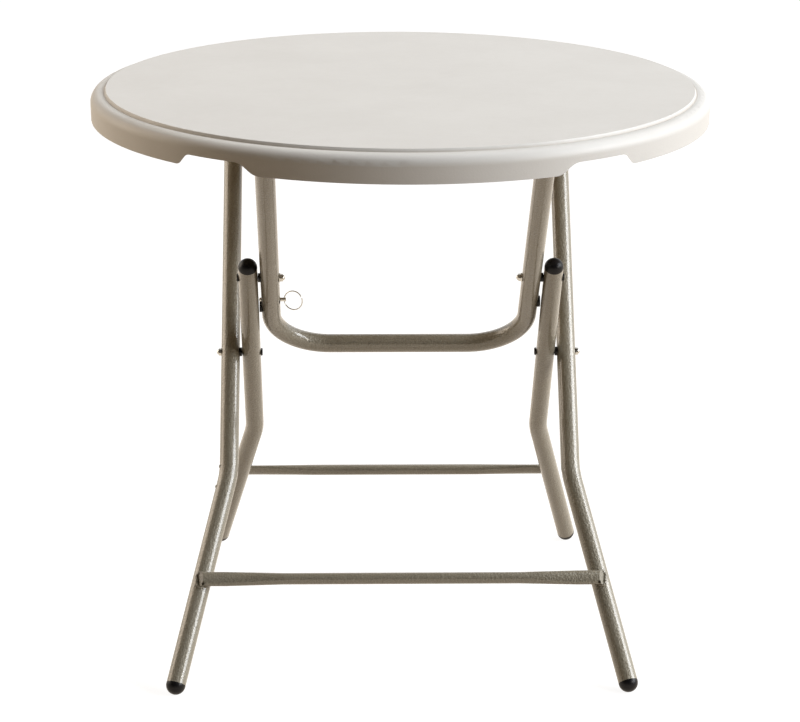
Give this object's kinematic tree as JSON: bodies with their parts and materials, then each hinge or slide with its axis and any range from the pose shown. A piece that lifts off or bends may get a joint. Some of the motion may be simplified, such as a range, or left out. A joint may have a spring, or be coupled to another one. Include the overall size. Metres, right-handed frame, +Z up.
{
  "type": "round folding table",
  "caption": "Round plastic table on crossed tubular steel legs that fold flat under the top, with a bent brace frame and a sprung lock pin.",
  "frame": {"origin": "on the floor, under the centre of the round top", "axes": "+X to the right of a viewer who faces the notched front of the top, +Y to the rear, +Z up"},
  "size_m": [0.7995, 0.7994, 0.74],
  "materials": {
    "tabletop_plastic": "off-white moulded plastic with a faint grain",
    "frame_paint": "taupe powder coat with a fine hammered look, satin",
    "black_plastic": "black plastic, slightly shiny",
    "nylon": "natural nylon",
    "zinc": "zinc-plated steel",
    "dark_steel": "blackened steel, satin",
    "spring_steel": "bright spring wire"
  },
  "bodies": {
    "top": {"tabletop": "tabletop_plastic", "rear_saddle_left": "zinc", "rear_saddle_right": "zinc", "front_saddle_left": "zinc", "front_saddle_right": "zinc", "saddle_bushes": "nylon", "saddle_screws": "zinc"},
    "outer_frame": {"outer_leg_left": "frame_paint", "outer_leg_right": "frame_paint", "outer_cross_tube": "frame_paint", "outer_tube_caps": "black_plastic", "front_crossbar": "frame_paint", "front_foot_left": "black_plastic", "front_foot_right": "black_plastic", "main_pivot_bolts": "dark_steel", "main_pivot_nuts": "zinc", "main_pivot_spacers": "black_plastic"},
    "inner_frame": {"inner_leg_left": "frame_paint", "inner_leg_right": "frame_paint", "rear_crossbar": "frame_paint", "rear_foot_left": "black_plastic", "rear_foot_right": "black_plastic", "inner_top_cap_left": "black_plastic", "inner_top_cap_right": "black_plastic", "brace_pivot_bolts": "dark_steel"},
    "brace": {"brace_frame": "frame_paint", "brace_cross_tube": "frame_paint", "brace_tube_caps": "black_plastic", "brace_pivot_studs": "zinc", "brace_pivot_nuts": "zinc", "brace_pivot_washers": "zinc", "brace_pivot_spacers": "black_plastic", "stop_pads": "black_plastic", "lock_housing": "black_plastic"},
    "lock_pin": {"lock_pin": "zinc", "lock_spring": "spring_steel"},
    "pull_ring": {"pull_ring": "zinc"}
  },
  "joints": [
    {"name": "fold", "type": "hinge", "parent": "top", "child": "outer_frame", "pos_m": [0, 0.2785, 0.698], "axis": [-1, 0, 0], "range_deg": [0, 51.29]},
    {"name": "inner_fold", "type": "hinge", "parent": "outer_frame", "child": "inner_frame", "pos_m": [0, 0.01881, 0.37051], "axis": [-1, 0, 0], "range_deg": [0, 72.6]},
    {"name": "brace_fold", "type": "hinge", "parent": "top", "child": "brace", "pos_m": [0, -0.25485, 0.698], "axis": [1, 0, 0], "range_deg": [0, 47.14]},
    {"name": "lock_slide", "type": "slide", "parent": "brace", "child": "lock_pin", "axis": [1, 0, 0], "range_m": [-0.004, 0.003], "stiffness_N_per_m": 400, "springref_m": -0.004},
    {"name": "ring_swing", "type": "hinge", "parent": "lock_pin", "child": "pull_ring", "pos_m": [-0.1522, -0.03261, 0.45869], "axis": [0, 0, 1], "range_deg": [-55, 50]}
  ],
  "couplings": [
    {"joint": "inner_fold", "follows": "fold", "ratio": 1.4151},
    {"joint": "brace_fold", "follows": "fold", "ratio": 0.91859}
  ]
}
